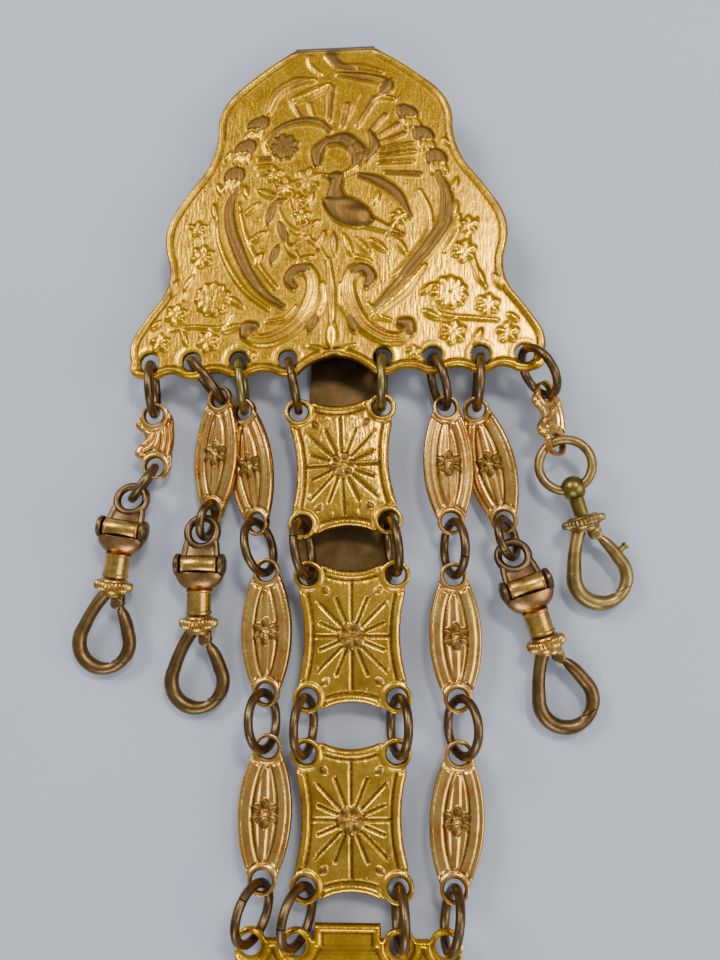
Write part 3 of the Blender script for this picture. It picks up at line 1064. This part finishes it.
# ---------------------------------------------------------------- rings
def ring_pose(node):
    """Middle, axis, and radius of the ring and of its wire, from its solid."""
    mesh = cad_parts[node].data
    pts = np.empty(len(mesh.vertices) * 3)
    mesh.vertices.foreach_get("co", pts)
    pts = pts.reshape(-1, 3)
    middle = pts.mean(0)
    # the points' mean can lie off the middle, so it is set again from their reach
    for _ in range(2):
        vectors = np.linalg.eigh(np.cov((pts - middle).T))[1]
        along = (pts - middle) @ vectors
        middle = middle + vectors @ ((along.min(0) + along.max(0)) / 2)
    axis = vectors[:, 0]
    flat = (pts - middle) - np.outer((pts - middle) @ axis, axis)
    far = np.linalg.norm(flat, axis=1)
    outer, inner = far.max(), far.min()
    return middle, axis, (outer + inner) / 2, (outer - inner) / 2


def ring_tree(material):
    """Open jump rings on points: each point carries its turn, radius and wire thickness."""
    tree = bpy.data.node_groups.new("jump rings", "GeometryNodeTree")
    sockets = tree.interface
    sockets.new_socket("Geometry", in_out="INPUT", socket_type="NodeSocketGeometry")
    for label, kind, value in (("Seam degrees", "NodeSocketFloat", RING_SEAM), ("Sides", "NodeSocketInt", 14),
                               ("Segments", "NodeSocketInt", 72)):
        sockets.new_socket(label, in_out="INPUT", socket_type=kind).default_value = value
    sockets.new_socket("Geometry", in_out="OUTPUT", socket_type="NodeSocketGeometry")
    into = add(tree, "NodeGroupInput")
    open_arc = add(tree, "ShaderNodeMath", {0: 360.0, 1: into.outputs["Seam degrees"]}, operation="SUBTRACT")
    radians = add(tree, "ShaderNodeMath", {0: open_arc.outputs[0]}, operation="RADIANS")
    arc = add(tree, "GeometryNodeCurveArc", {
        "Radius": 1.0, "Resolution": into.outputs["Segments"], "Sweep Angle": radians.outputs[0]})
    turn = add(tree, "GeometryNodeInputNamedAttribute", {"Name": "turn"}, data_type="FLOAT_VECTOR")
    radius = add(tree, "GeometryNodeInputNamedAttribute", {"Name": "ring_radius"}, data_type="FLOAT")
    wire = add(tree, "GeometryNodeInputNamedAttribute", {"Name": "wire"}, data_type="FLOAT")
    to_turn = add(tree, "FunctionNodeEulerToRotation", {0: turn.outputs["Attribute"]})
    rings = add(tree, "GeometryNodeInstanceOnPoints", {
        "Points": into.outputs["Geometry"], "Instance": arc.outputs["Curve"],
        "Rotation": to_turn.outputs[0], "Scale": radius.outputs["Attribute"]})
    curves = add(tree, "GeometryNodeRealizeInstances", {0: rings.outputs[0]})
    profile = add(tree, "GeometryNodeCurvePrimitiveCircle", {
        "Radius": 1.0, "Resolution": into.outputs["Sides"]})
    mesh = add(tree, "GeometryNodeCurveToMesh", {
        "Fill Caps": True, "Curve": curves.outputs[0], "Profile Curve": profile.outputs[0],
        "Scale": wire.outputs["Attribute"]})
    smooth = add(tree, "GeometryNodeSetShadeSmooth", {0: mesh.outputs[0]})
    real = add(tree, "GeometryNodeRealizeInstances", {0: smooth.outputs[0]})
    paint = add(tree, "GeometryNodeSetMaterial", {0: real.outputs[0], "Material": material})
    add(tree, "NodeGroupOutput", {0: paint.outputs[0]})
    return tree


class CHATELAINE_OT_jump_rings(bpy.types.Operator):
    """All round jump rings, bent from wire and closed at a fine seam"""
    bl_idname = "chatelaine.jump_rings"
    bl_label = "Jump rings"

    def execute(self, context):
        mats = materials(context)
        nodes = [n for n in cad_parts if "ring" in n]
        green = {"plate_ring_3", "plate_ring_5"}
        yellow = {"drop_ring_8"}
        groups = (
            ("brown_jump_rings", [n for n in nodes if n not in green | yellow], mats["ring"], "ring_brass"),
            ("olive_jump_rings", sorted(green), mats["green"], "ring_brass"),
            ("wide_drop_ring", sorted(yellow), mats["yellow"], "yellow_brass"),
        )
        for name, members, material, slot in groups:
            self.rings(context, name, members, material, slot)
        return {"FINISHED"}

    def rings(self, context, name, members, material, slot):
        """One mesh of all the rings of a colour; their seams lie at different places"""
        mesh = bpy.data.meshes.new(name)
        rows = [ring_pose(n) for n in members]
        mesh.from_pydata([tuple(r[0]) for r in rows], [], [])
        for key, kind in (("turn", "FLOAT_VECTOR"), ("ring_radius", "FLOAT"), ("wire", "FLOAT")):
            mesh.attributes.new(key, kind, "POINT")
        for i, (_, axis, radius, wire) in enumerate(rows):
            axis = axis if axis[0] > 0 else -axis
            start = Vector(axis).to_track_quat("Z", "Y").to_matrix()
            spin = Matrix.Rotation(math.radians(70 + 97 * i), 3, "Z")
            mesh.attributes["turn"].data[i].vector = (start @ spin).to_euler()
            mesh.attributes["ring_radius"].data[i].value = radius
            mesh.attributes["wire"].data[i].value = wire
        draft = bpy.data.objects.new(name + "_points", mesh)
        context.scene.collection.objects.link(draft)
        modifier = draft.modifiers.new("rings", "NODES")
        modifier.node_group = ring_tree(material)
        for item in modifier.node_group.interface.items_tree:
            if item.in_out == "INPUT" and item.name == "Seam degrees":
                modifier[item.identifier] = RING_SEAM
        context.view_layer.update()
        result = bpy.data.meshes.new_from_object(draft.evaluated_get(context.evaluated_depsgraph_get()))
        result.name = name
        bpy.data.objects.remove(draft)
        obj = bpy.data.objects.new(name, result)
        context.scene.collection.objects.link(obj)
        settle(obj, "root", slot, *members)


# ---------------------------------------------------------------- clips
def lathe(rows, sides=48, ribs=0, depth=0.0, squash=1.0):
    """Turned solid about Y from rows of radius, y and rib strength; the first and last radius are zero."""
    # six sides to a rib
    sides = ribs * 6 if ribs else sides
    angles = np.arange(sides) * 2 * math.pi / sides
    wave = 0.5 - 0.5 * np.cos(ribs * angles)
    points, faces = [(0, rows[0][1], 0)], []
    body = rows[1:-1]
    for row in body:
        r = row[0] - depth * wave * (row[2] if len(row) > 2 else 0)
        points += list(zip(r * np.cos(angles), np.full(sides, row[1]), r * np.sin(angles) * squash))
    points.append((0, rows[-1][1], 0))
    last = len(points) - 1
    for k in range(sides):
        n = (k + 1) % sides
        faces.append((0, 1 + n, 1 + k))
        for i in range(len(body) - 1):
            a, b = 1 + i * sides, 1 + (i + 1) * sides
            faces.append((a + k, a + n, b + n, b + k))
        a = 1 + (len(body) - 1) * sides
        faces.append((a + k, a + n, last))
    return points, faces


def sweep(path, radii, sides=18, flat=1.0, closed=False):
    """Wire along a path in the XY plane, with its own radius at each share of the way."""
    path = np.asarray(path, float)
    count = len(path)
    steps = np.linalg.norm(np.diff(path, axis=0), axis=1)
    share = np.r_[0, np.cumsum(steps)] / steps.sum()
    r = np.interp(share, np.linspace(0, 1, len(radii)), radii)
    if closed:
        way = np.roll(path, -1, 0) - np.roll(path, 1, 0)
    else:
        way = np.gradient(path, axis=0)
    way /= np.linalg.norm(way, axis=1)[:, None]
    angles = np.arange(sides) * 2 * math.pi / sides
    points, faces = [], []
    for (x, y), (tx, ty), rr in zip(path, way, r):
        for a in angles:
            points.append((x - ty * rr * math.cos(a), y + tx * rr * math.cos(a), rr * math.sin(a) * flat))
    for i in range(count if closed else count - 1):
        j = (i + 1) % count
        for k in range(sides):
            n = (k + 1) % sides
            faces.append((i * sides + k, i * sides + n, j * sides + n, j * sides + k))
    if not closed:
        points += [(*path[0], 0), (*path[-1], 0)]
        for k in range(sides):
            n = (k + 1) % sides
            faces.append((count * sides, n, k))
            faces.append((count * sides + 1, (count - 1) * sides + k, (count - 1) * sides + n))
    return points, faces


def shifted(shape, matrix):
    """Closed part after a matrix."""
    return moved(shape[0], matrix), shape[1]


def across(shape):
    """Turned solid laid along X instead of Y."""
    return shifted(shape, placed((0, 0, 0), (-90, "Z")))


def upright(shape, x, y):
    """Turned solid stood along Z instead of Y."""
    return shifted(shape, placed((x, y, 0), (90, "X")))


def eye_ring(y, r, wire, flat=1.0):
    """Closed ring of wire about a point on the axis."""
    a = np.arange(48) * 2 * math.pi / 48
    return sweep(np.c_[r * np.cos(a), y + r * np.sin(a)], (wire, wire), 16, flat, True)


def joined(name, parts, finishes, matrix):
    """One piece from closed parts, each with its finish: its place in the list of finishes."""
    points, faces, slots = [], [], []
    for (pts, fcs), slot in parts:
        base = len(points)
        points += [tuple(v) for v in pts]
        faces += [tuple(v + base for v in f) for f in fcs]
        slots += [slot] * len(fcs)
    return to_object(name, moved(points, matrix), faces, finishes, 38, None, slots)


def pear(side, top, drop, end):
    """Centre line of a loop's limb: a nearly straight leg from the top, then the round end to an angle."""
    dy = drop + top[1]
    meet = math.atan2(dy, top[0]) - math.acos(LOOP_R / math.hypot(top[0], dy))
    touch = (LOOP_R * math.cos(meet), LOOP_R * math.sin(meet) - drop)
    angles = np.linspace(meet, math.radians(end), 60)
    arc = [np.array([LOOP_R * math.cos(a), LOOP_R * math.sin(a) - drop]) for a in angles]
    path = np.array(bow(top, touch, 0.22, 16) + arc)
    path[:, 0] *= side
    return path


def collar(top, end, r, ribs):
    """Knurled bead with a plain fillet above and below it."""
    h = end - top
    return lathe([
        (0, -top), (r * 0.66, -top), (r * 0.72, -top - 0.12), (r * 0.74, -top - h * 0.14),
        (r * 0.93, -top - h * 0.2, 1), (r, -top - h * 0.32, 1), (r, -top - h * 0.6, 1),
        (r * 0.93, -top - h * 0.74, 1), (r * 0.74, -top - h * 0.8), (r * 0.7, -end + 0.08),
        (r * 0.62, -end - 0.02), (r * 0.6, -end - 0.35), (0, -end - 0.35)], ribs=ribs, depth=KNURL_DEPTH)


def trimmed(shape, point, normal):
    """Closed part with everything taken off on the side of a plane that the normal points to."""
    bm = bmesh.new()
    verts = [bm.verts.new(v) for v in shape[0]]
    for f in shape[1]:
        bm.faces.new([verts[v] for v in f])
    bmesh.ops.bisect_plane(bm, geom=bm.verts[:] + bm.edges[:] + bm.faces[:], plane_co=point,
                           plane_no=normal, clear_outer=True)
    bmesh.ops.holes_fill(bm, edges=[e for e in bm.edges if e.is_boundary])
    bm.verts.index_update()
    points = [tuple(v.co) for v in bm.verts]
    faces = [tuple(v.index for v in f.verts) for f in bm.faces]
    bm.free()
    return points, faces


def seam(loop, past, side):
    """Plane of the gate's seam, square to the line from its pivot, so that its ends slide past each other."""
    a = math.radians(SEAM_ANGLE)
    at = np.array([LOOP_R * math.cos(a), LOOP_R * math.sin(a) - loop.drop])
    line = (at - loop.pivot) / np.linalg.norm(at - loop.pivot)
    at = at + line * past
    return (at[0], at[1], 0), (side * line[0], side * line[1], 0)


def loop_parts(loop):
    """Fixed limb of a loop as far as the seam, and the fork that holds the gate's pivot."""
    x, y = loop.pivot
    thin, thick = loop.thin, loop.thick
    limb = sweep(pear(-1, (0.9, -loop.top), loop.drop, -110),
                 (thin, thin * 0.95, thick * 0.9, thick, thick, thick, SEAM_R))
    a = np.radians(np.linspace(-70, -22, 40))
    tail = sweep(np.c_[LOOP_R * np.cos(a), LOOP_R * np.sin(a) - loop.drop], (SEAM_R, SEAM_R))
    stem = sweep([(0.9, -loop.top), (0.95, y + 0.72)], (thin * 0.96, 0.8))
    parts = [limb, trimmed(tail, *seam(loop, 0.07, -1)), stem]
    disc = [(0, 0.52), (0.7, 0.52), (0.74, 0.58), (0.74, 0.76), (0.66, 0.82), (0.3, 0.82), (0.24, 0.88),
            (0, 0.9)]
    for s in (-1, 1):
        cheek = sweep([(0.93, y + 1.0), (x, y)], (0.78, 0.74), flat=0.2)
        parts.append(shifted(cheek, placed((0, 0, 0.66 * s))))
        parts.append(upright(lathe([(r, s * at) for r, at in disc], 28), x, y))
    return [(part, 0) for part in parts]


def gate_parts(loop):
    """Gate from its pivot to the seam."""
    thick = loop.gate
    radii = (0.46, 0.48, thick * 0.82, thick * 0.92, thick * 0.97) + (thick,) * 5 + (0.84, SEAM_R, SEAM_R)
    limb = sweep(pear(1, loop.pivot, loop.drop, -58), radii)
    knuckle = lathe([(0, -0.46), (0.62, -0.46), (0.68, -0.4), (0.68, 0.4), (0.62, 0.46), (0, 0.46)], 24)
    return [(trimmed(limb, *seam(loop, -0.05, 1)), 0), (upright(knuckle, *loop.pivot), 0)]


class CHATELAINE_OT_clips(bpy.types.Operator):
    """Three swivel clips: eye and barrel, cup with its ears, knurled collar, pear-shaped loop and gate"""
    bl_idname = "chatelaine.clips"
    bl_label = "Swivel clips"

    def execute(self, context):
        mats = materials(context)
        ribs = context.scene.chatelaine_sizes.knurls
        finishes = [mats["clip"], mats["bright"], mats["rosy"], mats["ring"]]
        for n, (x, y, heading, slope) in enumerate(CLIPS, 1):
            at, turn = (x, y, PIN_Z), (heading, "Z")
            hung, lying = placed(at, turn, (-slope, "X")), placed(at, turn, (CLIP_SLOPE, "X"))
            for piece, parts, place, body, slot, node in (
                    ("eye_and_barrel", self.bail(), hung, "root", "clip_brass", "bail"),
                    ("cup", self.cup(), lying, f"yoke_{n}", "gilt_links", "yoke"),
                    ("collar_and_loop", self.hook(ribs), lying, f"hook_{n}", "clip_brass", "hook"),
                    ("loop_gate", gate_parts(CLIP_LOOP), lying, f"gate_{n}", "clip_brass", "gate")):
                settle(joined(f"clip_{n}_{piece}", parts, finishes, place), body, slot, f"clip_{n}_{node}")
        return {"FINISHED"}

    def bail(self):
        """Eye with its two arms and the web between them, and a barrel with a fine lip at each end"""
        parts = [(eye_ring(4.35, 1.96, 0.53), 3)]
        for s in (-1, 1):
            arm = [(s * 1.7, 3.6), (s * 2.0, 2.6), (s * 2.15, 1.4), (s * 2.15, 0.6)]
            parts.append((sweep(arm, (0.42, 0.42), 14), 3))
        web = lathe([(0, 2.9), (1.5, 2.9), (1.95, 2.5), (2.2, 0.4), (0, 0.4)], 32, squash=0.16)
        parts.append((web, 3))
        half = [(0, 2.46), (1.02, 2.46), (1.18, 2.38), (1.29, 2.24), (1.29, 2.02), (1.24, 1.96), (1.24, 1.9),
                (1.27, 1.84)]
        barrel = lathe([(r, -at) for r, at in half] + half[::-1], 40)
        parts.append((across(barrel), 1))
        return parts

    def cup(self):
        """Flattened cup with a smooth neck under it, an ear at each side and the pin between them"""
        outer = [(3.2 * math.cos(a), -1.05 - 2.5 * math.sin(a)) for a in np.linspace(0.0, 1.06, 12)]
        inner = [(2.8 * math.cos(a), -1.05 - 1.98 * math.sin(a)) for a in np.linspace(1.45, 0.0, 12)]
        rows = [(0, -3.05)] + inner + [(3.0, -0.96)] + outer + [(1.55, -3.35), (0, -3.35)]
        parts = [(lathe(rows, 64, squash=0.46), 2)]
        neck = [(0, -3.2), (1.55, -3.2), (1.72, -3.28), (1.72, -3.45), (1.6, -3.6), (1.6, -5.9),
                (1.72, -6.05), (1.72, -6.3), (1.55, -6.46), (0, -6.46)]
        parts.append((lathe(neck), 1))
        ear = [(0, 2.62), (1.36, 2.62), (1.46, 2.72), (1.46, 3.1), (1.3, 3.26), (1.0, 3.28), (0.9, 3.4),
               (0.5, 3.5), (0, 3.52)]
        for s in (-1, 1):
            parts.append((across(lathe([(r, s * at) for r, at in ear], 40)), 3))
        parts.append((across(lathe([(0, -2.7), (0.5, -2.7), (0.5, 2.7), (0, 2.7)], 20)), 3))
        return parts

    def hook(self, ribs):
        """Swivel post with its head inside the cup, knurled collar and loop"""
        post = [(0, -1.75), (0.9, -1.75), (1.1, -1.9), (1.1, -2.35), (0.7, -2.4), (0.7, -6.7), (0, -6.7)]
        return [(lathe(post, 32), 3), (collar(6.62, 8.55, 2.52, ribs), 1)] + loop_parts(CLIP_LOOP)


class CHATELAINE_OT_ball_clip(bpy.types.Operator):
    """Fourth clip: pierced ball on its stem, knurled disc, thick loop and gate with a thumb nub"""
    bl_idname = "chatelaine.ball_clip"
    bl_label = "Ball clip"

    def execute(self, context):
        mats = materials(context)
        # the pierced ball and its stem keep their solid and get their finish
        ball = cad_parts["clip_4_swivel"].data.materials
        ball.clear()
        ball.append(mats["olive"])
        ribs = context.scene.chatelaine_sizes.knurls + 2
        finishes = [mats["yellow"], mats["olive"]]
        place = placed(BALL, (BALL_HEADING, "Z"), (BALL_SLOPE, "X"))
        hook = [(collar(3.72, 5.35, 2.85, ribs), 0)] + loop_parts(BALL_LOOP)
        settle(joined("clip_4_disc_and_loop", hook, finishes, place), "hook_4", "yellow_brass", "clip_4_hook")
        nub = lathe([(0, 0), (0.42, 0), (0.36, 0.9), (0.5, 1.1), (0.42, 1.4), (0, 1.5)], 20)
        gate = gate_parts(BALL_LOOP) + [(shifted(nub, placed((3.2, -9.45, 0), (-62, "Z"))), 1)]
        settle(joined("clip_4_thick_gate", gate, finishes, place), "gate_4", "yellow_brass", "clip_4_gate")
        return {"FINISHED"}


class CHATELAINE_OT_watch_hook(bpy.types.Operator):
    """Plain closed watch hook on the lower ring"""
    bl_idname = "chatelaine.watch_hook"
    bl_label = "Watch hook"

    def execute(self, context):
        mats = materials(context)
        stem = lathe([(0, -1.6), (1.0, -1.6), (1.1, -1.8), (1.0, -3.7), (0, -3.7)], 32)
        ribs = context.scene.chatelaine_sizes.knurls
        parts = [(eye_ring(0, 1.83, 0.5, 1.1), 0), (stem, 0), (collar(3.6, 5.3, 2.6, ribs), 1)]
        for side in (-1, 1):
            limb = pear(side, (0.88, -5.6), BALL_LOOP.drop, -90)
            parts.append((sweep(limb, (0.84, 0.8, 0.8, 0.9, 0.92)), 0))
        hook = joined("plain_watch_hook", parts, [mats["clip"], mats["bright"]],
                      placed(WATCH, (WATCH_SLOPE, "X")))
        settle(hook, "root", "clip_brass", "watch_hook")
        return {"FINISHED"}


# ---------------------------------------------------------------- stage
# name, place, target, width, height, power in watts and colour of each light; places are in metres
LIGHTS = (
    ("window", (-0.34, 0.30, 0.40), (0, 0.01, 0), 0.26, 0.20, 2.1, (1.0, 0.98, 0.95)),
    ("lamp", (0.13, 0.20, 0.42), (0, 0.02, 0), 0.12, 0.07, 1.2, (1.0, 0.97, 0.92)),
    ("fill", (0.45, -0.10, 0.35), (0, 0, 0), 0.35, 0.35, 1.6, (1.0, 0.96, 0.90)),
    ("front", (-0.05, -0.50, 0.30), (0, 0, 0), 0.30, 0.20, 1.4, (0.95, 0.97, 1.0)),
)
WORLD_COLOUR, WORLD_STRENGTH = "#E7EFFF", 0.46
FLOOR_HALF = 1.2
# the camera's place in drawing millimetres, and its own axes: right, up and back
CAMERA = (8.55, -51.74, 107.55)
CAMERA_AXES = (
    (0.99854, -0.00731, -0.05354), (0.01794, 0.97946, 0.20082), (0.05098, -0.20148, 0.97816),
)


class CHATELAINE_OT_stage(bpy.types.Operator):
    """Pale floor, soft lights and the camera"""
    bl_idname = "chatelaine.stage"
    bl_label = "Stage"

    def execute(self, context):
        mesh = bpy.data.meshes.new("floor")
        corners = [(x * FLOOR_HALF, y * FLOOR_HALF, 0) for x, y in ((-1, -1), (1, -1), (1, 1), (-1, 1))]
        mesh.from_pydata(corners, [], [(0, 1, 2, 3)])
        mesh.materials.append(materials(context)["floor"])
        floor = bpy.data.objects.new("floor", mesh)
        context.scene.collection.objects.link(floor)
        world = bpy.data.worlds.new("studio")
        context.scene.world = world
        world.use_nodes = True
        background = world.node_tree.nodes["Background"].inputs
        background["Color"].default_value = hex_colour(WORLD_COLOUR)
        background["Strength"].default_value = WORLD_STRENGTH
        for name, place, target, width, height, power, tone in LIGHTS:
            light = bpy.data.lights.new(name, "AREA")
            light.shape = "RECTANGLE"
            light.size, light.size_y, light.energy, light.color = width, height, power, tone
            lamp = bpy.data.objects.new(name, light)
            lamp.location = place
            lamp.rotation_euler = (Vector(target) - Vector(place)).to_track_quat("-Z", "Y").to_euler()
            context.scene.collection.objects.link(lamp)
        lens = bpy.data.cameras.new("camera")
        lens.sensor_width = 36
        lens.sensor_fit = "AUTO"
        lens.lens = 30
        lens.clip_start = 0.005
        lens.clip_end = 10
        camera = bpy.data.objects.new("camera", lens)
        rows = [(*row, at) for row, at in zip(zip(*CAMERA_AXES), (np.array(CAMERA) - ORIGIN) * MM)]
        camera.matrix_world = Matrix(rows + [(0, 0, 0, 1)])
        context.scene.collection.objects.link(camera)
        context.scene.camera = camera
        return {"FINISHED"}


STEPS = (
    CHATELAINE_OT_hook_plate, CHATELAINE_OT_square_links, CHATELAINE_OT_navette_links,
    CHATELAINE_OT_leaf_links, CHATELAINE_OT_lower_plate, CHATELAINE_OT_jump_rings,
    CHATELAINE_OT_clips, CHATELAINE_OT_ball_clip, CHATELAINE_OT_watch_hook, CHATELAINE_OT_stage,
)


class CHATELAINE_PT_panel(bpy.types.Panel):
    """Lists the steps of the chatelaine"""
    bl_idname = "CHATELAINE_PT_panel"
    bl_label = "Chatelaine"
    bl_space_type = "VIEW_3D"
    bl_region_type = "UI"
    bl_category = "Chatelaine"

    def draw(self, context):
        for step in STEPS:
            self.layout.operator(step.bl_idname)
        for group in (context.scene.chatelaine_sizes, context.scene.chatelaine_colours):
            for key in group.bl_rna.properties.keys():
                if key not in ("rna_type", "name"):
                    self.layout.prop(group, key)


CLASSES = (ChatelaineSizes, ChatelaineColours) + STEPS + (CHATELAINE_PT_panel,)


def register():
    for cls in CLASSES:
        bpy.utils.register_class(cls)
    bpy.types.Scene.chatelaine_sizes = bpy.props.PointerProperty(type=ChatelaineSizes)
    bpy.types.Scene.chatelaine_colours = bpy.props.PointerProperty(type=ChatelaineColours)


def unregister():
    del bpy.types.Scene.chatelaine_colours
    del bpy.types.Scene.chatelaine_sizes
    for cls in reversed(CLASSES):
        bpy.utils.unregister_class(cls)


def main():
    register()
    for step in STEPS:
        group, name = step.bl_idname.split(".")
        getattr(getattr(bpy.ops, group), name)()


if __name__ == "__main__":
    main()
